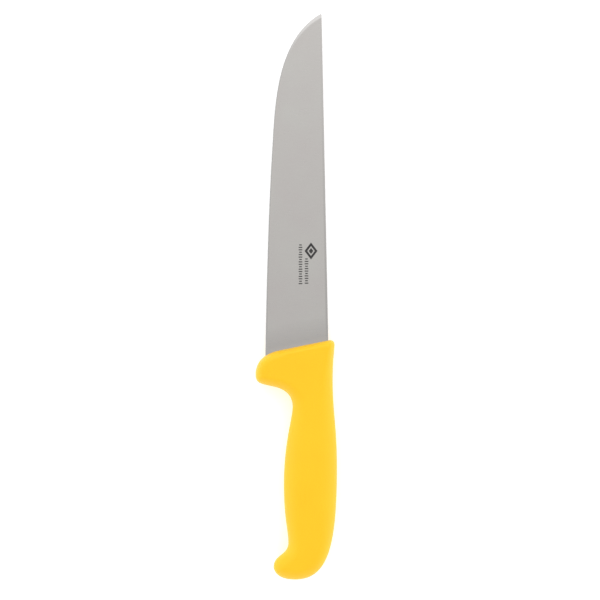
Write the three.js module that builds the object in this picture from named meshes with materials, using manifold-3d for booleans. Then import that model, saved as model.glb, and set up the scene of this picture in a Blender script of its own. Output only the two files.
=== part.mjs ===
// Butcher's knife: a ground steel blade, and a handle moulded round the blade's tang.
// Millimetres. X runs from the cutting edge to the spine, Y from the butt to the tip, and Z out of the
// blade's side. The drawing's zero lies on the long axis, where it leaves the front of the handle, in the
// middle of the blade's thickness. The finished knife is moved so that its lowest point is at Z = 0.
import * as THREE from "three";
import { mergeVertices } from "three/addons/utils/BufferGeometryUtils.js";
import Module from "manifold-3d";

const wasm = await Module();
wasm.setup();

// Driving dimensions
const BLADE_LENGTH = 200;
const HANDLE_LENGTH = 139.4;
const FRONT_SLOPE = 0.205; // the handle's front leans this much across the blade
const FRONT_Y = 0.16; // the front's place on the long axis

// Blade
const STEEL = 2.2; // thickness of the sheet, and of the spine
const HEEL_X = -19.15; // cutting edge where it ends inside the handle
const ROOT_Y = -12.5; // end of the blade's full width inside the handle
const SPINE_ROOT_X = 19.1;
const SPINE_TIP = [14.75, 199.2];
const TIP = [14.3, BLADE_LENGTH];
const EDGE_MIDDLE = [-14.75, 120]; // the long stretch of the edge gives way to the belly here
const EDGE_PULLS = [[-18.3, 31], [-17.47, 76], [-13.17, 145.5], [-12.45, 184.5]]; // which bend the edge
const GRIND_ACROSS = 0.0215; // each face falls this much a millimetre, from the spine to the edge
const GRIND_ALONG = 0.0018; // and this much from the handle to the tip
const GRIND_START = 2; // where the faces begin on the long axis, just ahead of the handle
const RUN_OUT = 0.05; // how steeply the grinding comes up out of the steel behind there
const EDGE_ANGLE = THREE.MathUtils.degToRad(16); // of each sharpened face to the middle plane

// Tang
const TANG_END = [8, -98]; // centre of the rounded end
const TANG_END_RADIUS = 5.5;
const TANG_EDGE_X = 2.2; // edge side of the tang behind its fillet
const TANG_SPINE_X = 16.4;
const TANG_FILLET = [[-6, -15.6], [TANG_EDGE_X, -17], [TANG_EDGE_X, -27]]; // bends from the heel into it
const SHOULDER = 5; // the spine side steps in to the tang over this length
const HEEL_CHAMFER = [2, 1.2];
const LOCK_HOLES = [[9.4, -36], [8.9, -62], [8.4, -88]]; // filled by the handle's plastic
const LOCK_HOLE_RADIUS = 3;
const CLEARANCE = 0.3; // between the tang and the handle's plastic

// Handle. Its outline is two smooth curves from the front to the butt. Each node of a curve has its place,
// its heading, and the reach of the curve's straight pull before and after it.
const DOWN = [0, -1];
const ALONG_FRONT = [1, FRONT_SLOPE];
const frontAt = (x) => FRONT_Y + FRONT_SLOPE * x;
const EDGE_SIDE = [
  { at: [-10.5, frontAt(-10.5)], heading: [-1, -FRONT_SLOPE], after: 10.5 },
  { at: [-24.8, -16.4], heading: DOWN, before: 6.4, after: 5 }, // tip of the guard
  { at: [-16, -23.3], heading: [1, -0.22], before: 6.6, after: 4.2 }, // back of the guard
  { at: [-2.6, -35.9], heading: DOWN, before: 10.2, after: 7.1 }, // forefinger hollow
  { at: [-7.85, -82.7], heading: DOWN, before: 25.7, after: 20.1 }, // palm swell
  { at: [-5.15, -117.2], heading: DOWN, before: 6.9, after: 8 }, // little finger notch
  { at: [-13.95, -131.9], heading: DOWN, before: 7.5, after: 2.9 }, // tip of the hook
  { at: [-1.2, -HANDLE_LENGTH], heading: [1, 0], before: 9.9 },
];
const SPINE_SIDE = [
  { at: [18.8, frontAt(18.8)], heading: ALONG_FRONT, after: 2.2 },
  { at: [22.5, 1], heading: DOWN, before: 2.6, after: 3.1 }, // front corner
  { at: [21.4, -19.9], heading: DOWN, before: 13.4, after: 20.2 }, // thumb hollow
  { at: [23.95, -72.1], heading: DOWN, before: 25.3, after: 48.8 }, // back of the palm swell
  { at: [-1.2, -HANDLE_LENGTH], heading: [-1, 0], before: 19.5 },
];

// Half the thickness, and how far in from the sides the rounding reaches: each starts from its value at the
// handle's front, and changes smoothly between two depths behind it.
const HALF_THICKNESS = {
  front: 8.6,
  changes: [
    { from: 8, to: 34, by: -0.6 }, // neck
    { from: 34, to: 80, by: 2 }, // palm swell
    { from: 84, to: 140, by: -1.6 }, // butt
  ],
};
const ROUNDING = {
  front: 4.5,
  changes: [
    { from: 0, to: 70, by: 9.5 },
    { from: 82, to: 128, by: -6.5 },
  ],
};
const FRONT_ROUNDING = 3.3; // how far behind the handle's front its own rounding reaches
const LIP = 1.9; // half the thickness of the front, beside the blade
const TURN_DEPTH = 45; // the sections turn square to the long axis over this depth
const STATIONS = 84;
const RING = 36;

function smoothPoints(nodes, divisions) {
  const path = new THREE.CurvePath();
  const pulled = ({ at, heading }, reach) =>
    new THREE.Vector2(...heading).setLength(reach).add(new THREE.Vector2(...at));
  nodes.slice(1).forEach((node, i) => {
    const from = nodes[i];
    path.add(
      new THREE.CubicBezierCurve(
        new THREE.Vector2(...from.at),
        pulled(from, from.after),
        pulled(node, -node.before),
        new THREE.Vector2(...node.at),
      ),
    );
  });
  return path.getSpacedPoints(divisions);
}

function profileAt(profile, depth) {
  const change = ({ from, to, by }) => by * THREE.MathUtils.smoothstep(depth, from, to);
  return profile.changes.reduce((sum, part) => sum + change(part), profile.front);
}

// Where a line of points first passes below the line y = level + slope * x.
function crossing(points, level, slope) {
  const above = (p) => p.y - level - slope * p.x;
  const i = points.findIndex((p, k) => k > 0 && above(p) <= 0);
  if (i < 0) return points.at(-1).clone();
  const a = above(points[i - 1]);
  const share = THREE.MathUtils.clamp(a / (a - above(points[i])), 0, 1);
  return points[i - 1].clone().lerp(points[i], share);
}

function distanceTo(lines, point) {
  const flat = new THREE.Vector3(point.x, point.y, 0);
  const nearest = new THREE.Vector3();
  return Math.min(...lines.map((line) => line.closestPointToPoint(flat, true, nearest).distanceTo(flat)));
}

function solidOf(geometry) {
  const bare = geometry.clone();
  bare.deleteAttribute("normal");
  bare.deleteAttribute("uv");
  const merged = mergeVertices(bare, 1e-4);
  return new wasm.Manifold(
    new wasm.Mesh({
      numProp: 3,
      vertProperties: new Float32Array(merged.attributes.position.array),
      triVerts: new Uint32Array(merged.index.array),
    }),
  );
}

function meshOf(name, solid, material) {
  const { vertProperties, triVerts } = solid.getMesh();
  const geometry = new THREE.BufferGeometry();
  geometry.setAttribute("position", new THREE.BufferAttribute(vertProperties, 3));
  geometry.setIndex(new THREE.BufferAttribute(triVerts, 1));
  geometry.computeVertexNormals();
  const mesh = new THREE.Mesh(geometry, material);
  mesh.name = name;
  return mesh;
}

// A grindstone: a broad, thick slab lying on the plane through a point.
function stone(point, normal) {
  const SPAN = 600;
  const HEIGHT = 40;
  const up = new THREE.Vector3(0, 0, 1);
  const slab = new THREE.BoxGeometry(SPAN, SPAN, HEIGHT);
  slab.translate(0, 0, HEIGHT / 2);
  slab.applyQuaternion(new THREE.Quaternion().setFromUnitVectors(up, normal.clone().normalize()));
  slab.translate(...point);
  return solidOf(slab);
}

// The outline of what the handle holds, from the spine round the tang to the heel.
function tangOutline(grow) {
  const [endX, endY] = TANG_END;
  const r = TANG_END_RADIUS + grow;
  const path = new THREE.Path();
  path.moveTo(SPINE_ROOT_X + grow, ROOT_Y - grow);
  path.quadraticCurveTo(TANG_SPINE_X + grow, ROOT_Y - grow, TANG_SPINE_X + grow, ROOT_Y - SHOULDER - grow);
  path.lineTo(endX + r, endY);
  path.absarc(endX, endY, r, 0, -Math.PI, true);
  const [heelEnd, corner, tangEnd] = TANG_FILLET.map(([x, y]) => [x - grow, y - grow]);
  path.lineTo(...tangEnd);
  path.quadraticCurveTo(...corner, ...heelEnd);
  path.lineTo(HEEL_X + HEEL_CHAMFER[0] - grow, ROOT_Y - HEEL_CHAMFER[1] - grow);
  path.lineTo(HEEL_X - grow, ROOT_Y - grow);
  return path.getPoints(8);
}

// A plate of the given outline, pierced, and ground to a taper on both faces. The room for the tang is the
// same plate, grown by the clearance.
function groundPlate(outline, grow) {
  const shape = new THREE.Shape(outline);
  shape.holes = LOCK_HOLES.map(([x, y]) =>
    new THREE.Path().absarc(x, y, LOCK_HOLE_RADIUS - grow, 0, 2 * Math.PI, false),
  );
  const depth = STEEL + 2 * grow;
  const plate = new THREE.ExtrudeGeometry(shape, { depth, bevelEnabled: false, curveSegments: 8 });
  plate.translate(0, 0, -depth / 2);
  const height = depth / 2 - GRIND_ACROSS * SPINE_ROOT_X;
  return [1, -1].reduce((ground, side) => {
    const start = new THREE.Vector3(0, GRIND_START, side * height);
    const face = new THREE.Vector3(-GRIND_ACROSS, GRIND_ALONG, side);
    const runOut = new THREE.Vector3(-RUN_OUT * FRONT_SLOPE, RUN_OUT, 0).add(face);
    return ground.subtract(stone(start, face).intersect(stone(start, runOut)));
  }, solidOf(plate));
}

// The cutting edge, from the heel to the tip. It bulges outwards all the way, so that each length of it can
// be sharpened by stones that run on past its ends.
function cuttingEdge() {
  const LONG_STEPS = 8;
  const BELLY_STEPS = 24;
  const heel = new THREE.Vector2(HEEL_X, ROOT_Y);
  const middle = new THREE.Vector2(...EDGE_MIDDLE);
  const tip = new THREE.Vector2(...TIP);
  const pulls = EDGE_PULLS.map((pull) => new THREE.Vector2(...pull));
  const long = new THREE.CubicBezierCurve(heel, pulls[0], pulls[1], middle);
  const belly = new THREE.CubicBezierCurve(middle, pulls[2], pulls[3], tip);
  return [...long.getPoints(LONG_STEPS), ...belly.getPoints(BELLY_STEPS).slice(1)];
}

function bladeSolid() {
  const MARGIN = 1;
  const spineTip = new THREE.Vector2(...SPINE_TIP);
  const beyondTip = spineTip.clone().lerp(new THREE.Vector2(...TIP), 2);
  const strip = [
    new THREE.Vector2(HEEL_X - MARGIN, ROOT_Y),
    new THREE.Vector2(HEEL_X - MARGIN, beyondTip.y),
    beyondTip,
    spineTip,
    ...tangOutline(0).slice(0, -1),
  ];
  const edge = cuttingEdge();
  let blade = groundPlate(strip, 0);
  edge.slice(1).forEach((end, i) => {
    const run = end.clone().sub(edge[i]).normalize();
    const inward = new THREE.Vector3(run.y, -run.x, 0);
    const start = new THREE.Vector3(edge[i].x, edge[i].y, 0);
    for (const side of [1, -1]) {
      const normal = inward.clone().multiplyScalar(-Math.tan(EDGE_ANGLE)).setZ(side);
      blade = blade.subtract(stone(start, normal));
    }
  });
  return blade;
}

// One section of the handle, on the line between the two sides of its outline.
function handleRing(left, right, sides) {
  const centre = left.clone().add(right).multiplyScalar(0.5);
  const half = right.clone().sub(left).multiplyScalar(0.5);
  return Array.from({ length: RING }, (_, j) => {
    const angle = (2 * Math.PI * j) / RING;
    const point = centre.clone().addScaledVector(half, Math.cos(angle));
    const depth = frontAt(point.x) - point.y;
    const fromSides = distanceTo(sides, point) / profileAt(ROUNDING, depth);
    const inward = THREE.MathUtils.clamp(Math.min(fromSides, depth / FRONT_ROUNDING), 0, 1);
    const rounded = Math.sqrt(1 - (1 - inward) ** 2);
    const height = Math.max(profileAt(HALF_THICKNESS, depth) * rounded, LIP * Math.abs(Math.sin(angle)));
    const side = j % (RING / 2) === 0 ? 0 : Math.sign(Math.sin(angle));
    return new THREE.Vector3(point.x, point.y, side * height);
  });
}

function handleOuter() {
  const FINE = 500;
  const spineSide = smoothPoints(SPINE_SIDE, FINE);
  const edgeSide = smoothPoints(EDGE_SIDE, FINE);
  const linesOf = (points) => {
    const flat = points.map(({ x, y }) => new THREE.Vector3(x, y, 0));
    return flat.slice(1).map((end, i) => new THREE.Line3(flat[i], end));
  };
  const sides = [...linesOf(edgeSide), ...linesOf(spineSide)];
  const rings = smoothPoints(EDGE_SIDE, STATIONS)
    .slice(0, -1)
    .map((left) => {
      const depth = frontAt(left.x) - left.y;
      const slope = FRONT_SLOPE * (1 - THREE.MathUtils.smoothstep(depth, 0, TURN_DEPTH));
      return handleRing(left, crossing(spineSide, left.y - slope * left.x, slope), sides);
    });
  return loft(rings);
}

function loft(rings) {
  const middle = (ring) =>
    ring.reduce((sum, p) => sum.add(p), new THREE.Vector3()).divideScalar(ring.length);
  const points = [...rings.flat(), middle(rings[0]), middle(rings.at(-1))];
  const at = (i, j) => i * RING + (j % RING);
  const last = rings.length - 1;
  const faces = [];
  for (let j = 0; j < RING; j++) {
    for (let i = 0; i < last; i++) {
      faces.push(at(i, j), at(i, j + 1), at(i + 1, j + 1));
      faces.push(at(i, j), at(i + 1, j + 1), at(i + 1, j));
    }
    faces.push(points.length - 2, at(0, j + 1), at(0, j));
    faces.push(points.length - 1, at(last, j), at(last, j + 1));
  }
  const geometry = new THREE.BufferGeometry().setFromPoints(points);
  geometry.setIndex(faces);
  return geometry;
}

function handleSolid() {
  const OPEN_Y = 12; // the room is cut out through the front, as far as this
  const lean = (rootX, [x, y]) => (x - rootX) / (y - ROOT_Y);
  const edgeX = HEEL_X + lean(HEEL_X, EDGE_PULLS[0]) * (OPEN_Y - ROOT_Y);
  const spineX = SPINE_ROOT_X + lean(SPINE_ROOT_X, SPINE_TIP) * (OPEN_Y - ROOT_Y);
  const mouth = [
    new THREE.Vector2(edgeX - CLEARANCE, OPEN_Y),
    new THREE.Vector2(spineX + CLEARANCE, OPEN_Y),
  ];
  const room = groundPlate([...mouth, ...tangOutline(CLEARANCE)], CLEARANCE);
  return solidOf(handleOuter()).subtract(room);
}

const steel = new THREE.MeshStandardMaterial({ color: 0xb9b5b1, metalness: 1, roughness: 0.38 });
const yellowPlastic = new THREE.MeshStandardMaterial({ color: 0xfed032, metalness: 0, roughness: 0.5 });

const knife = new THREE.Group();
knife.add(meshOf("blade", bladeSolid(), steel));
knife.add(meshOf("handle", handleSolid(), yellowPlastic));

// The part's own zero is under the middle of the knife, level with the lowest point of its palm swell.
const box = new THREE.Box3().setFromObject(knife);
const middle = box.getCenter(new THREE.Vector3());
knife.position.set(-middle.x, -middle.y, -box.min.z);

export default knife;
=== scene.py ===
import math

import bmesh
import bpy
import numpy as np
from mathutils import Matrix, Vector


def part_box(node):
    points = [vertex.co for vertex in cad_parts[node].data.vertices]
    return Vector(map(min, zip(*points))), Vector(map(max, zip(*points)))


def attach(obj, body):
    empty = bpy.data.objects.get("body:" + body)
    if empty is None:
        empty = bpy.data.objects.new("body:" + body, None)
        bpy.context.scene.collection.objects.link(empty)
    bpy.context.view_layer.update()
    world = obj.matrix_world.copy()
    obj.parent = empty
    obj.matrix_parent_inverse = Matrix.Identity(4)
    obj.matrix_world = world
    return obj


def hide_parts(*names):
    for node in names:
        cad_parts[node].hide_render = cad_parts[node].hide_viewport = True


# Looks of the butcher's knife: a satin-ground steel blade in a handle moulded round its tang.
# The drawing is in millimetres. X runs from the cutting edge to the spine, Y from the butt to the tip and Z
# out of the blade's marked side. Zero lies on the long axis, at the front of the handle, in the middle of the
# blade's thickness.

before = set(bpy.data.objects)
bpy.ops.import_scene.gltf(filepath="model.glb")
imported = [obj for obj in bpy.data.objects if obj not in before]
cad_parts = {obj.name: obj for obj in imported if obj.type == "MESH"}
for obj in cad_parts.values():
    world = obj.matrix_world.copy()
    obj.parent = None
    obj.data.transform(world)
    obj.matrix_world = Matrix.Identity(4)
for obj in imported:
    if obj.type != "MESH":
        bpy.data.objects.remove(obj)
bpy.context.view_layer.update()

# ---------------------------------------------------------------------------------------------------------
# Driving dimensions

MM = 0.001
BLADE_LENGTH = 200.0
HANDLE_LENGTH = 139.4
FRONT_SLOPE, FRONT_Y = 0.205, 0.16  # the handle's front follows y = FRONT_Y + FRONT_SLOPE * x

# The blade's outline. Its edge is two curves that meet at the middle.
STEEL = 2.2  # thickness of the sheet
HEEL_X, ROOT_Y = -19.15, -12.5
SPINE_ROOT_X = 19.1
SPINE_TIP = (14.75, 199.2)
TIP = (14.3, BLADE_LENGTH)
EDGE_MIDDLE = (-14.75, 120.0)
EDGE_PULLS = ((-18.3, 31.0), (-17.47, 76.0), (-13.17, 145.5), (-12.45, 184.5))

# Grinding
GRIND_ACROSS, GRIND_ALONG = 0.0215, 0.0018  # fall of each face a millimetre, towards the edge and the tip
GRIND_START = 2.0  # where the faces begin on the long axis
RUN_OUT = 0.05  # how steeply the grinding comes up out of the steel behind there
GROUND_BACK = -6.0  # the ground part is drawn from here
GROUND_OVERLAP = 1.0  # and the plain sheet up to this far ahead of it
EDGE_ANGLE = math.radians(16)
SPINE_EASING = 0.12  # radius that takes the sharpness off the spine's corners

# Tang
HEEL_CHAMFER = (2.0, 1.2)
TANG_EDGE_X, TANG_SPINE_X = 2.2, 16.4
TANG_FILLET = ((-6.0, -15.6), (TANG_EDGE_X, -17.0), (TANG_EDGE_X, -27.0))  # from the heel into the tang
TANG_END = (8.0, -98.0)
TANG_END_RADIUS = 5.5
SHOULDER = 5.0  # the spine side steps in to the tang over this length
SPINE_INSET = 0.2  # the spine has leaned in this far where the plain sheet ends
LOCK_HOLES = ((9.4, -36.0), (8.9, -62.0), (8.4, -88.0))
LOCK_HOLE_RADIUS = 3.0

# Moulding
MOULDED_FIT = 0.1  # the plastic has shrunk this far clear of the steel
SEAM_PROUD, SEAM_HALF_WIDTH = 0.06, 0.08  # the fine raised line where the mould's halves met

# Meshes
SLIVER = 0.002  # faces narrower than this are only left over from a cut
SAME_POINT = 1e-5
TINY = 1e-12  # keeps a sum from being divided by nothing
HANDLE_CREASE, BLADE_CREASE = 35, 8  # degrees; a bend sharper than this is shaded as an edge

blade_low, blade_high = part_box("blade")
ORIGIN = np.array(
    [
        blade_high.x - SPINE_ROOT_X * MM,
        blade_high.y - BLADE_LENGTH * MM,
        (blade_low.z + blade_high.z) / 2,
    ]
)


def placed(points):
    """Points of the drawing, in the frame's metres."""
    return ORIGIN + MM * np.asarray(points, dtype=float)


# ---------------------------------------------------------------------------------------------------------
# Drawing helpers


def bezier(a, b, c, d, steps=200):
    t = np.linspace(0, 1, steps + 1)[:, None]
    a, b, c, d = (np.asarray(p, dtype=float) for p in (a, b, c, d))
    return (1 - t) ** 3 * a + 3 * (1 - t) ** 2 * t * b + 3 * (1 - t) * t**2 * c + t**3 * d


def spaced(points, count):
    """The same line, as that many points at equal steps along it."""
    length = np.concatenate([[0], np.cumsum(np.linalg.norm(np.diff(points, axis=0), axis=1))])
    steps = np.linspace(0, length[-1], count)
    return np.stack([np.interp(steps, length, points[:, axis]) for axis in (0, 1)], axis=1)


def smooth_line(nodes, count):
    """A smooth line through nodes of (place, heading, reach before, reach after)."""
    stretches = []
    for (start, way, _, after), (end, end_way, before, _) in zip(nodes, nodes[1:]):
        way, end_way = (np.array(w) / np.linalg.norm(w) for w in (way, end_way))
        stretches.append(bezier(start, start + way * after, end - end_way * before, end))
    return spaced(np.concatenate(stretches), count)


def smoothstep(x, start, end):
    t = np.clip((x - start) / (end - start), 0, 1)
    return t * t * (3 - 2 * t)


def linked(name, data):
    """A new object of the scene, with that mesh, curve, camera or light."""
    item = bpy.data.objects.new(name, data)
    bpy.context.scene.collection.objects.link(item)
    return item


def new_piece(name, bm):
    """An object from a bmesh in the drawing's millimetres."""
    bmesh.ops.recalc_face_normals(bm, faces=bm.faces)
    for vertex in bm.verts:
        vertex.co = Vector(placed(vertex.co))
    mesh = bpy.data.meshes.new(name)
    bm.to_mesh(mesh)
    bm.free()
    return linked(name, mesh)


def shade_smooth(mesh, crease):
    mesh.shade_smooth()
    mesh.set_sharp_from_angle(angle=math.radians(crease))


def combine(piece, other, operation):
    """Joins another piece to this one or cuts it away, and clears the slivers that this leaves."""
    boolean = piece.modifiers.new("combine", "BOOLEAN")
    boolean.object = other
    boolean.operation = operation
    boolean.solver = "EXACT"
    evaluated = piece.evaluated_get(bpy.context.evaluated_depsgraph_get())
    old = piece.data
    piece.data = bpy.data.meshes.new_from_object(evaluated)
    piece.modifiers.clear()
    bpy.data.meshes.remove(old)
    bpy.data.meshes.remove(other.data)
    bm = bmesh.new()
    bm.from_mesh(piece.data)
    bmesh.ops.remove_doubles(bm, verts=bm.verts, dist=SLIVER * MM)
    bmesh.ops.triangulate(bm, faces=[face for face in bm.faces if len(face.verts) > 4])
    bmesh.ops.dissolve_degenerate(bm, edges=bm.edges, dist=SLIVER * MM)
    bm.to_mesh(piece.data)
    bm.free()


def rings_to_bmesh(rings, point=None, end=()):
    """A closed skin over a row of rings. It starts flat, and ends in a point or in the faces of end.

    Each face of end is a list of corners of the last ring.
    """
    bm = bmesh.new()
    rows = [[bm.verts.new(corner) for corner in ring] for ring in rings]
    for row, following in zip(rows, rows[1:]):
        for j in range(len(row)):
            k = (j + 1) % len(row)
            bm.faces.new((row[j], row[k], following[k], following[j]))
    bm.faces.new(rows[0])
    last = rows[-1]
    for corners in end:
        bm.faces.new([last[j] for j in corners])
    if point is not None:
        tip = bm.verts.new(point)
        for j in range(len(last)):
            bm.faces.new((last[j], last[(j + 1) % len(last)], tip))
    return bm


# ---------------------------------------------------------------------------------------------------------
# Camera: square on to the marked side

PHOTO_CENTRE = (1.8, 28.2, 0.0)
FIELD = 360.0  # what the picture's width takes in
LENS, SENSOR = 100.0, 36.0

camera_data = bpy.data.cameras.new("camera")
camera_data.lens = LENS
camera_data.sensor_width = SENSOR
camera = linked("camera", camera_data)
camera.location = placed(PHOTO_CENTRE) + np.array([0, 0, FIELD * MM * LENS / SENSOR])
bpy.context.scene.camera = camera

# ---------------------------------------------------------------------------------------------------------
# Handle

DOWN = (0, -1)
ALONG_FRONT = (1, FRONT_SLOPE)


def front_at(x):
    return FRONT_Y + FRONT_SLOPE * x


# Place, heading, and the reach of the curve's straight pull before and after it.
EDGE_SIDE = [
    ((-10.5, front_at(-10.5)), (-1, -FRONT_SLOPE), 0, 10.5),  # the front, beside the blade
    ((-24.8, -16.4), DOWN, 6.4, 5),  # the point of the finger guard
    ((-16, -23.3), (1, -0.22), 6.6, 4.2),  # behind the guard
    ((-2.6, -35.9), DOWN, 10.2, 7.1),  # the neck
    ((-7.85, -82.7), DOWN, 25.7, 20.1),  # the grip
    ((-5.15, -117.2), DOWN, 6.9, 8),  # ahead of the hook
    ((-13.95, -131.9), DOWN, 7.5, 2.9),  # the point of the hook
    ((-1.2, -HANDLE_LENGTH), (1, 0), 9.9, 0),  # the end of the butt
]
SPINE_SIDE = [
    ((18.8, front_at(18.8)), ALONG_FRONT, 0, 2.2),  # the front, beside the blade
    ((22.5, 1), DOWN, 2.6, 3.1),  # the collar
    ((21.4, -19.9), DOWN, 13.4, 20.2),  # the neck
    ((23.95, -72.1), DOWN, 25.3, 48.8),  # the palm swell
    ((-1.2, -HANDLE_LENGTH), (-1, 0), 19.5, 0),  # the end of the butt
]
# Half the thickness, and how far in from the sides the rounding reaches: the value at the handle's front,
# then each smooth change, as (from depth, to depth, by).
HALF_THICKNESS = (8.6, ((8, 34, -0.6), (34, 80, 2), (84, 140, -1.6)))
ROUNDING = (4.5, ((0, 70, 9.5), (82, 128, -6.5)))
FRONT_ROUNDING = 3.3  # how far behind the handle's front its own rounding reaches
LIP = 1.9  # half the thickness of the front, beside the blade
TURN_DEPTH = 45  # the sections turn square to the long axis, and the lip fades, over this depth
STATIONS = 340
HALF_RING = 40
FINE = 700  # points on a side, where sections and distances are measured


def profile_at(profile, depth):
    value, changes = profile
    return value + sum(by * smoothstep(depth, start, end) for start, end, by in changes)


def crossing(line, level, slope):
    """Where a line of points first passes below y = level + slope * x."""
    above = line[:, 1] - level - slope * line[:, 0]
    below = np.flatnonzero(above[1:] <= 0)
    if not len(below):
        return line[-1]
    i = below[0]
    share = np.clip(above[i] / max(above[i] - above[i + 1], TINY), 0, 1)
    return line[i] + share * (line[i + 1] - line[i])


def distance_to(lines, points):
    """How far each point lies from the nearest of some lines."""
    start = np.concatenate([line[:-1] for line in lines])
    run = np.concatenate([np.diff(line, axis=0) for line in lines])
    nearest = np.empty(len(points))
    for i, point in enumerate(points):
        offset = point - start
        share = np.clip((offset * run).sum(1) / np.maximum((run * run).sum(1), TINY), 0, 1)
        nearest[i] = np.sqrt((((offset - run * share[:, None]) ** 2).sum(1)).min())
    return nearest


def handle_rings():
    """Sections of the handle, each on a line between the two sides of its outline."""
    edge_side = smooth_line(EDGE_SIDE, STATIONS + 1)[:-1]
    spine_line, edge_line = smooth_line(SPINE_SIDE, FINE), smooth_line(EDGE_SIDE, FINE)
    angles = np.linspace(0, math.pi, HALF_RING + 1)
    spine_side = []
    for left in edge_side:
        slope = FRONT_SLOPE * (1 - smoothstep(front_at(left[0]) - left[1], 0, TURN_DEPTH))
        spine_side.append(crossing(spine_line, left[1] - slope * left[0], slope))
    spine_side = np.array(spine_side)
    middle, half = (edge_side + spine_side) / 2, (spine_side - edge_side) / 2
    flat = middle[:, None] + half[:, None] * np.cos(angles)[None, :, None]
    depth = front_at(flat[..., 0]) - flat[..., 1]
    from_sides = distance_to((edge_line, spine_line), flat.reshape(-1, 2)).reshape(depth.shape)
    inward = np.minimum(from_sides / profile_at(ROUNDING, depth), depth / FRONT_ROUNDING)
    rounded = np.sqrt(1 - (1 - np.clip(inward, 0, 1)) ** 2)
    lip = LIP * np.sin(angles) * (1 - smoothstep(depth, 0, TURN_DEPTH))
    clear_of_seam = 3 * SEAM_HALF_WIDTH
    height = np.maximum(profile_at(HALF_THICKNESS, depth) * rounded, np.maximum(lip, clear_of_seam))
    out_edge, out_spine = outward(edge_side, 1), outward(spine_side, -1)
    for i in range(STATIONS):
        upper = np.column_stack([flat[i], height[i]])[1:-1]
        lower = upper[::-1] * (1, 1, -1)
        along_spine = seam(spine_side[i], out_spine[i])
        along_edge = seam(edge_side[i], out_edge[i])
        yield [*along_spine, *upper, *along_edge[::-1], *lower]


def outward(line, side):
    """The direction out of the handle at each point of one of its sides."""
    run = np.gradient(line, axis=0)
    out = side * np.column_stack([run[:, 1], -run[:, 0]])
    return out / np.maximum(np.linalg.norm(out, axis=1, keepdims=True), TINY)


def seam(foot, out):
    """The corners of the mould line on one side of a section, from below to above."""
    crest = foot + out * SEAM_PROUD
    low, high = SEAM_HALF_WIDTH, 2 * SEAM_HALF_WIDTH
    return [(*foot, -high), (*crest, -low), (*crest, low), (*foot, high)]


def butt_faces():
    """The end of the butt: two flat halves, and the mould line that runs across between them.

    Corners 0 to 3 are those of the mould line on the spine side, and from far on those on the edge side.
    """
    far = HALF_RING + 3
    ring = range(2 * far)
    ridge = [(0, 1, far + 2, far + 3), (1, 2, far + 1, far + 2), (2, 3, far, far + 1)]
    return [*ridge, ring[3 : far + 1], [*ring[far + 3 :], 0]]


# ---------------------------------------------------------------------------------------------------------
# Blade

ROWS = 240
ACROSS = 7  # points on each ground face, from the bevel to the spine
WIDEST_BEVEL = 0.98  # share of the blade's width, where it narrows to the tip
WIDEST_EASING = 0.45  # share of half the spine's thickness
EASING_TURNS = (math.pi / 6, math.pi / 3, math.pi / 2)
HOLE_POINTS, END_POINTS = 48, 25


def face_height(x, y):
    """Height of the ground faces, and of the run-out behind them, above the middle plane."""
    face = STEEL / 2 - GRIND_ACROSS * (SPINE_ROOT_X - x) - GRIND_ALONG * (y - GRIND_START)
    behind = GRIND_START + FRONT_SLOPE * x - y
    return min(face + RUN_OUT * max(behind, 0), STEEL / 2)


def cutting_edge():
    long = bezier((HEEL_X, ROOT_Y), EDGE_PULLS[0], EDGE_PULLS[1], EDGE_MIDDLE)
    belly = bezier(EDGE_MIDDLE, EDGE_PULLS[2], EDGE_PULLS[3], TIP)
    line = np.concatenate([long, belly[1:]])
    return line[line[:, 1] >= GROUND_BACK + FRONT_SLOPE * HEEL_X]


def ground_rings(grow):
    """Sections of the ground part, from inside the handle to the tip."""
    edge = spaced(cutting_edge(), ROWS)
    spine_root, spine_tip = np.array([SPINE_ROOT_X, ROOT_Y]), np.array(SPINE_TIP)
    back = (GROUND_BACK + FRONT_SLOPE * SPINE_ROOT_X - ROOT_Y) / (spine_tip[1] - ROOT_Y)
    start = spine_root + (spine_tip - spine_root) * back
    spine = spaced(np.array([start, spine_tip, TIP]), ROWS)
    run = np.gradient(edge, axis=0)
    inward = np.column_stack([run[:, 1], -run[:, 0]])
    inward /= np.linalg.norm(inward, axis=1, keepdims=True)
    for e, s, n in zip(edge[:-1], spine[:-1], inward):
        width = np.linalg.norm(s - e)
        way = (s - e) / width
        steepness = (way @ n) * math.tan(EDGE_ANGLE)
        fall = way @ (-GRIND_ACROSS, GRIND_ALONG)
        bevel = min(face_height(*e) / (steepness + fall), width * WIDEST_BEVEL)
        height = min(face_height(*s), width * steepness)
        easing = min(SPINE_EASING, height * WIDEST_EASING)
        inner = max(width - easing, bevel)
        upper = []
        for step in np.linspace(bevel, inner, ACROSS):
            x, y = e + way * step
            upper.append((x, y, min(face_height(x, y), step * steepness) + grow))
        for turn in EASING_TURNS:
            x, y = e + way * (inner + grow + easing * math.sin(turn))
            upper.append((x, y, height - easing * (1 - math.cos(turn)) + grow))
        lower = [(x, y, -z) for x, y, z in reversed(upper)]
        corner = e - way * grow * 2  # the corner of a wedge moves further out than its sides
        yield [(*corner, 0), *upper, *lower]


def quadratic(a, b, c, steps=12):
    t = np.linspace(0, 1, steps + 1)[:, None]
    a, b, c = (np.array(p, dtype=float) for p in (a, b, c))
    return [tuple(p) for p in (1 - t) ** 2 * a + 2 * (1 - t) * t * b + t**2 * c]


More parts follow.
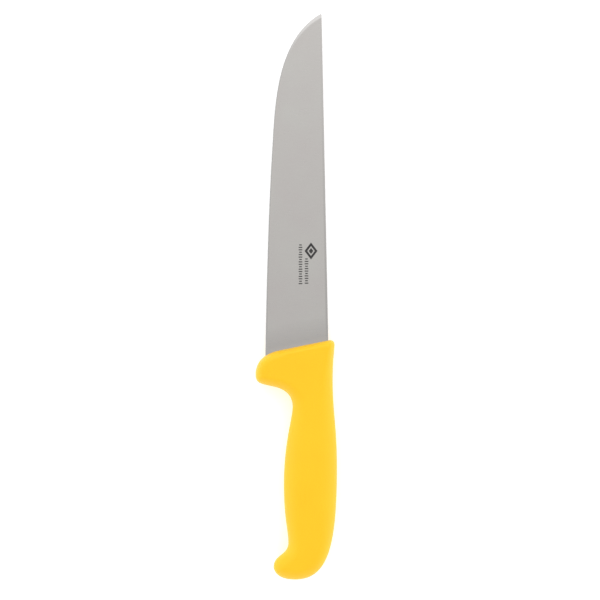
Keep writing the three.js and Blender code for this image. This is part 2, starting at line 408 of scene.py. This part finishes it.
def tang_outline(grow):
    """What the handle holds behind the grinding, from the heel round the tang to the spine."""
    heel_x, root_y = HEEL_X - grow, ROOT_Y - grow
    tang_x, spine_x = TANG_SPINE_X + grow, SPINE_ROOT_X + grow
    (fillet_x, fillet_y), *tang_side = TANG_FILLET
    fillet = quadratic((fillet_x, fillet_y - grow), *((x - grow, y - grow) for x, y in tang_side))
    end_x, end_y = TANG_END
    r = TANG_END_RADIUS + grow
    end = [(end_x + r * math.cos(t), end_y + r * math.sin(t)) for t in np.linspace(-math.pi, 0, END_POINTS)]
    shoulder = quadratic((tang_x, root_y - SHOULDER), (tang_x, root_y), (spine_x, root_y))
    front = GROUND_BACK + GROUND_OVERLAP + grow
    return [
        (heel_x, front + FRONT_SLOPE * HEEL_X),
        (heel_x, root_y),
        (heel_x + HEEL_CHAMFER[0], root_y - HEEL_CHAMFER[1]),
        *fillet,
        *end,
        *shoulder,
        (spine_x - SPINE_INSET, front + FRONT_SLOPE * (spine_x - SPINE_INSET)),
    ]


def plate(name, outline, holes, half):
    """A flat plate with round holes."""
    curve = bpy.data.curves.new(name, "CURVE")
    curve.dimensions = "2D"
    curve.fill_mode = "BOTH"
    curve.extrude = half * MM
    turns = np.linspace(0, 2 * math.pi, HOLE_POINTS, endpoint=False)
    loops = [outline]
    loops += [[(x + r * math.cos(t), y + r * math.sin(t)) for t in turns] for x, y, r in holes]
    for loop in loops:
        spline = curve.splines.new("POLY")
        spline.points.add(len(loop) - 1)
        spline.use_cyclic_u = True
        for point, (x, y) in zip(spline.points, loop):
            point.co = (*placed((x, y, 0))[:2], 0, 1)
    evaluated = linked(name, curve).evaluated_get(bpy.context.evaluated_depsgraph_get())
    mesh = bpy.data.meshes.new_from_object(evaluated)
    bpy.data.curves.remove(curve)
    bm = bmesh.new()
    bm.from_mesh(mesh)
    bmesh.ops.translate(bm, verts=bm.verts, vec=(0, 0, ORIGIN[2]))
    bmesh.ops.remove_doubles(bm, verts=bm.verts, dist=SAME_POINT * MM)
    bmesh.ops.recalc_face_normals(bm, faces=bm.faces)
    bm.to_mesh(mesh)
    bm.free()
    return linked(name, mesh)


def blade_piece(name, grow):
    """The blade with its tang, or, with that much added all round, the room for it in the handle."""
    bm = rings_to_bmesh(ground_rings(grow), point=(*TIP, 0))
    bmesh.ops.remove_doubles(bm, verts=bm.verts, dist=SAME_POINT)
    blade = new_piece(name, bm)
    holes = [(x, y, LOCK_HOLE_RADIUS - grow) for x, y in LOCK_HOLES]
    combine(blade, plate(name + "_tang", tang_outline(grow), holes, STEEL / 2 + grow), "UNION")
    return blade


# ---------------------------------------------------------------------------------------------------------
# Mark: a plain diamond and two rows of dashes, without lettering

INK_HEIGHTS = (0.002, 0.012)  # under and upper side of the ink, above the steel
DIAMOND_CENTRE = (8.4, 57.6)
DIAMOND_OUTER, DIAMOND_INNER, DIAMOND_CORE = (3.9, 5.1), (2.25, 2.95), (1.4, 1.8)  # half width and length
DASH_ROWS = ((2.1, 61.2, 17), (5.7, 52.8, 11))  # place across, place of the first dash, and how many
DASH_PITCH = 1.45
DASH_HALF_LENGTHS = (0.8, 1.1, 1.1)  # in turn along a row
DASH_HALF_WIDTH = 0.32


def diamond(half_width, half_length):
    x, y = DIAMOND_CENTRE
    return [(x + half_width, y), (x, y + half_length), (x - half_width, y), (x, y - half_length)]


def inked(bm, outline, hole=None):
    """A patch of ink on the blade's marked side, or a band of it round a hole with as many corners."""
    loops = [
        [bm.verts.new((x, y, face_height(x, y) + height)) for x, y in loop]
        for height in INK_HEIGHTS
        for loop in ([outline, hole] if hole else [outline])
    ]
    if hole:
        low, low_hole, high, high_hole = loops
        bands = ((low, low_hole), (high, high_hole), (low, high), (low_hole, high_hole))
    else:
        low, high = loops
        bm.faces.new(low)
        bm.faces.new(high)
        bands = ((low, high),)
    for a, b in bands:
        for j in range(len(a)):
            k = (j + 1) % len(a)
            bm.faces.new((a[j], a[k], b[k], b[j]))


def mark_piece():
    bm = bmesh.new()
    inked(bm, diamond(*DIAMOND_OUTER), diamond(*DIAMOND_INNER))
    inked(bm, diamond(*DIAMOND_CORE))
    for x, first, count in DASH_ROWS:
        for i in range(count):
            long = DASH_HALF_LENGTHS[i % len(DASH_HALF_LENGTHS)]
            low, high = (first - DASH_PITCH * i + side * DASH_HALF_WIDTH for side in (-1, 1))
            inked(bm, [(x - long, low), (x + long, low), (x + long, high), (x - long, high)])
    return new_piece("blade_mark", bm)


# ---------------------------------------------------------------------------------------------------------
# Materials

# Colours. Noise runs between the two of a pair.
SATIN = ((0.515, 0.491, 0.477), (0.525, 0.513, 0.491))
# Painted shade: the steel's colour darkened in a strip ahead of the handle, darkest at the handle.
SATIN_PAINTED_SHADE_BY_HANDLE = (0.447, 0.432, 0.416)
# Painted shade: the steel's colour darkened in a strip along the spine, most near the handle.
SATIN_PAINTED_SHADE_BY_SPINE = (0.43, 0.417, 0.404)
# Painted shade: a darker steel colour for the tilted bevels and spine.
BEVEL_PAINTED_SHADE = (0.455, 0.445, 0.435)
# Painted shade: the yellow of the plastic painted darker in the pits of the grain than on its crests.
PITS_PAINTED_SHADE = ((0.905, 0.52, 0.003), (0.92, 0.535, 0.004))
CRESTS = ((0.985, 0.585, 0.004), (1.0, 0.6, 0.006))
ETCHED = ((0.022, 0.022, 0.024), (0.06, 0.058, 0.056))
FLOOR_WHITE = ((0.84, 0.84, 0.84), (0.86, 0.86, 0.86))

# Noises: waves a metre, detail, and how the axes are stretched.
CLOUDS = (45, 3)
STROKES = (9000, 3, (0.02, 1, 0.02))
SCRATCHES = (3600, 4, (0.03, 1, 0.03))
GRAIN = (3800, 2)
WEAR = (1800, 3)
FLOOR_CLOUDS = (8, 2)
NOISE_LOW, NOISE_HIGH = 0.3, 0.7  # most of a noise lies between these

STROKE_DEPTH, SCRATCH_DEPTH, GRAIN_DEPTH, WEAR_DEPTH = 0.0005, 0.0009, 0.03, 0.002
SPINE_SHADE_BAND = (1.6, 0.9)  # how far in from the spine a strip of painted shade starts, and how far in it is full
SPINE_FADE, SPINE_FADED = 140.0, 0.1  # ahead of the frame's origin it fades over that length, to that share
COLLAR_SHADE_BAND = 16.0  # a strip of painted shade reaches this far ahead of the handle
LEANING, LYING_FLAT = 0.975, 0.99  # a normal's share of Z at 13 and at 8 degrees


class Look:
    """The nodes of a material or of the world, and the steps that they are built in."""

    def __init__(self, owner):
        owner.use_nodes = True
        self.owner = owner
        self.nodes, self.links = owner.node_tree.nodes, owner.node_tree.links

    def fill(self, node, inputs):
        """Gives each of some inputs its link or its plain value."""
        for name, value in inputs.items():
            if isinstance(value, bpy.types.NodeSocket):
                self.links.new(value, node.inputs[name])
            else:
                node.inputs[name].default_value = value

    def finished(self, surface):
        """The material, with these inputs of its surface filled."""
        self.fill(self.nodes["Principled BSDF"], surface)
        return self.owner

    def place(self, space="Object"):
        return self.nodes.new("ShaderNodeTexCoord").outputs[space]

    def noise(self, scale, detail, stretch=(1, 1, 1)):
        mapping = self.nodes.new("ShaderNodeMapping")
        self.fill(mapping, {"Vector": self.place(), "Scale": stretch})
        texture = self.nodes.new("ShaderNodeTexNoise")
        self.fill(texture, {"Vector": mapping.outputs["Vector"], "Scale": scale, "Detail": detail})
        return texture.outputs["Fac"]

    def ranged(self, value, low, high, start=NOISE_LOW, end=NOISE_HIGH):
        """The value from start to end, spread over low to high."""
        spread = self.nodes.new("ShaderNodeMapRange")
        self.fill(spread, {"Value": value, "From Min": start, "From Max": end, "To Min": low, "To Max": high})
        return spread.outputs["Result"]

    def maths(self, operation, *values):
        step = self.nodes.new("ShaderNodeMath")
        step.operation = operation
        self.fill(step, dict(enumerate(values)))
        return step.outputs["Value"]

    def parts(self, vector):
        """The three parts of a vector."""
        split = self.nodes.new("ShaderNodeSeparateXYZ")
        self.fill(split, {"Vector": vector})
        return split.outputs

    def way_along(self, direction):
        """How far along a direction each point lies, in metres."""
        along = self.nodes.new("ShaderNodeVectorMath")
        along.operation = "DOT_PRODUCT"
        self.fill(along, {0: self.place(), 1: direction})
        return along.outputs["Value"]

    def mottled(self, value, low, high):
        """The colour from low to high, as a noise goes through its usual range."""
        ramp = self.nodes.new("ShaderNodeValToRGB")
        stops = zip(ramp.color_ramp.elements, (NOISE_LOW, NOISE_HIGH), (low, high))
        for stop, position, colour in stops:
            stop.position, stop.color = position, (*colour, 1)
        self.fill(ramp, {"Fac": value})
        return ramp.outputs["Color"]

    def blended(self, factor, low, high):
        """The colour from low to high, where each may be a plain colour or a link."""
        blend = self.nodes.new("ShaderNodeMix")
        blend.data_type = "RGBA"
        low, high = ((*side, 1) if isinstance(side, tuple) else side for side in (low, high))
        self.fill(blend, {"Factor": factor, "A": low, "B": high})
        return blend.outputs["Result"]

    def bump(self, value, depth, onto=None):
        """A relief of that depth in millimetres, on the smooth surface or onto another relief."""
        relief = self.nodes.new("ShaderNodeBump")
        self.fill(relief, {"Strength": 1.0, "Distance": depth * MM, "Height": value})
        if onto is not None:
            self.fill(relief, {"Normal": onto})
        return relief.outputs["Normal"]

    def painted_shade_by_spine(self):
        """The narrow strip along the spine, strongest near the handle, where painted shade darkens the
        steel's colour.
        """
        across = (1, (SPINE_ROOT_X - SPINE_TIP[0]) / (SPINE_TIP[1] - ROOT_Y), 0)
        spine = placed((SPINE_ROOT_X, ROOT_Y, 0)) @ across
        start, full = (spine - inset * MM for inset in SPINE_SHADE_BAND)
        strip = self.ranged(self.way_along(across), 0, 1, start, full)
        fading = self.ranged(self.way_along((0, 1, 0)), 1, SPINE_FADED, 0, SPINE_FADE * MM)
        return self.maths("MULTIPLY", strip, fading)

    def painted_shade_by_handle(self):
        """The strip ahead of the handle where painted shade darkens the steel's colour, darkest at the
        handle.
        """
        ahead = (-FRONT_SLOPE, 1, 0)
        front = placed((0, FRONT_Y, 0)) @ ahead
        return self.ranged(self.way_along(ahead), 1, 0, front, front + COLLAR_SHADE_BAND * MM)

    def flatness(self):
        """One on the faces that lie nearly flat, and nothing on the bevels and the spine; where it is
        nothing, shade is painted.
        """
        normal = self.nodes.new("ShaderNodeNewGeometry").outputs["Normal"]
        upright = self.maths("ABSOLUTE", self.parts(normal)["Z"])
        return self.ranged(upright, 0, 1, LEANING, LYING_FLAT)


def steel_material():
    """Satin on the ground faces; painted shade darkens the colour on the bevels and the spine, where the
    faces tilt, and in strips along the spine and ahead of the handle.
    """
    look = Look(bpy.data.materials.new("satin_steel"))
    scratches = look.noise(*SCRATCHES)
    satin = look.mottled(look.noise(*CLOUDS), *SATIN)
    # Painted shade ahead of the handle.
    satin = look.blended(look.painted_shade_by_handle(), satin, SATIN_PAINTED_SHADE_BY_HANDLE)
    # Painted shade along the spine.
    satin = look.blended(look.painted_shade_by_spine(), satin, SATIN_PAINTED_SHADE_BY_SPINE)
    coarse = look.bump(scratches, SCRATCH_DEPTH)
    return look.finished(
        {
            # The bevels and the spine get a darker colour by how far their faces tilt: painted shade.
            "Base Color": look.blended(look.flatness(), BEVEL_PAINTED_SHADE, satin),
            "Metallic": 1.0,
            "Roughness": look.ranged(scratches, 0.26, 0.36),
            "Normal": look.bump(look.noise(*STROKES), STROKE_DEPTH, coarse),
        }
    )


def plastic_material():
    """Polypropylene with a moulded grain, its yellow painted darker in the grain's pits than on the crests as
    painted shade.
    """
    look = Look(bpy.data.materials.new("yellow_polypropylene"))
    clouds, grain = look.noise(*CLOUDS), look.noise(*GRAIN)
    shaded_pits, crests = look.mottled(clouds, *PITS_PAINTED_SHADE), look.mottled(clouds, *CRESTS)
    return look.finished(
        {
            # The grain's pits are painted darker than its crests: painted shade.
            "Base Color": look.blended(look.ranged(grain, 0, 1), shaded_pits, crests),
            "Roughness": look.ranged(clouds, 0.42, 0.5),
            "IOR": 1.49,
            "Specular IOR Level": 0.4,
            "Normal": look.bump(grain, GRAIN_DEPTH),
        }
    )


def ink_material():
    """Black oxide, worn a little unevenly."""
    look = Look(bpy.data.materials.new("etched_black"))
    wear = look.noise(*WEAR)
    return look.finished(
        {
            "Base Color": look.mottled(wear, *ETCHED),
            "Metallic": 0.4,
            "Roughness": look.ranged(wear, 0.5, 0.65),
            "Normal": look.bump(wear, WEAR_DEPTH),
        }
    )


def floor_material():
    """White translucent sheet, lit a little from below as well."""
    look = Look(bpy.data.materials.new("white_sweep"))
    return look.finished(
        {
            "Base Color": look.mottled(look.noise(*FLOOR_CLOUDS), *FLOOR_WHITE),
            "Roughness": 0.9,
            "Specular IOR Level": 0.1,
            "Emission Color": (1, 1, 1, 1),
            "Emission Strength": 0.4,
        }
    )


# ---------------------------------------------------------------------------------------------------------
# Making the pieces

blade = blade_piece("blade_steel", 0)
room = blade_piece("room_for_blade", MOULDED_FIT)
handle = new_piece("handle_moulding", rings_to_bmesh(handle_rings(), end=butt_faces()))
combine(handle, room, "DIFFERENCE")
shade_smooth(handle.data, HANDLE_CREASE)
shade_smooth(blade.data, BLADE_CREASE)
mark = mark_piece()

steel, plastic, ink = steel_material(), plastic_material(), ink_material()
for piece, material, node, slot in (
    (blade, steel, "blade", "blade_steel"),
    (handle, plastic, "handle", "handle_plastic"),
    (mark, ink, None, "blade_mark"),
):
    piece.data.materials.clear()
    piece.data.materials.append(material)
    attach(piece, "root")
    if node:
        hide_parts(node)

# ---------------------------------------------------------------------------------------------------------
# Floor and light

FLOOR_HALF = 30000.0  # from the knife to the floor's rim
FLOOR_GAP = 0.05  # between the knife and the floor
RESTING_DEPTHS = np.linspace(FRONT_ROUNDING + 1, HANDLE_LENGTH, 500)  # where the handle may touch the floor

WALLS = 1.0  # brightness of the tent's walls
ROOF = (0.74, 1.1)  # and of its roof, behind the handle and beyond the tip
ROOF_RISE = (0.1, 0.5)  # a direction's share of Z, where the walls go over into the roof
ROOF_TURN = (-0.12, 0.2)  # a direction's share of Y, where the roof gets brighter

SOFTBOX_SIZE = (1.6, 1.0)
SOFTBOX_AIM = Vector((0, 0, 0))
SOFTBOXES = (  # name, place in the frame and watts
    ("spine_light", (1.25, 0, 0.45), 2.2),
    ("edge_light", (-1.25, 0, 0.45), 2.2),
    ("butt_light", (0, -1.25, 0.45), 2.1),
    ("tip_light", (0, 1.1, 1.0), 3.2),
)


def floor_piece():
    """A floor under the front edge of the collar's flat and the palm swell, which the knife rests on."""
    collar = HALF_THICKNESS[0]
    rises = (profile_at(HALF_THICKNESS, RESTING_DEPTHS) - collar) / (RESTING_DEPTHS - FRONT_ROUNDING)
    bm = bmesh.new()
    corners = []
    for across, along in ((-1, -1), (1, -1), (1, 1), (-1, 1)):
        x, y = across * FLOOR_HALF, along * FLOOR_HALF
        behind = front_at(x) - y - FRONT_ROUNDING
        corners.append(bm.verts.new((x, y, -collar - rises.max() * behind - FLOOR_GAP)))
    bm.faces.new(corners)
    floor = new_piece("floor", bm)
    floor.data.materials.append(floor_material())
    return floor


def softbox(name, place, watts):
    data = bpy.data.lights.new(name, "AREA")
    data.shape = "RECTANGLE"
    data.size, data.size_y = SOFTBOX_SIZE
    data.energy = watts
    light = linked(name, data)
    light.location = place
    light.rotation_mode = "QUATERNION"
    light.rotation_quaternion = (SOFTBOX_AIM - Vector(place)).to_track_quat("-Z", "Y")


def light_tent():
    """White cloth all round, and overhead a softer light, dimmer behind the handle than beyond the tip."""
    look = Look(bpy.data.worlds.new("tent"))
    direction = look.parts(look.place("Generated"))
    roof = look.ranged(direction["Y"], *ROOF, *ROOF_TURN)
    overhead = look.ranged(direction["Z"], 0, 1, *ROOF_RISE)
    both = look.nodes.new("ShaderNodeMix")
    look.fill(both, {"Factor": overhead, "A": WALLS, "B": roof})
    background = {"Color": (1, 1, 1, 1), "Strength": both.outputs["Result"]}
    look.fill(look.nodes["Background"], background)
    return look.owner


floor_piece()
for box in SOFTBOXES:
    softbox(*box)
bpy.context.scene.world = light_tent()
bpy.context.scene.view_settings.view_transform = "Standard"
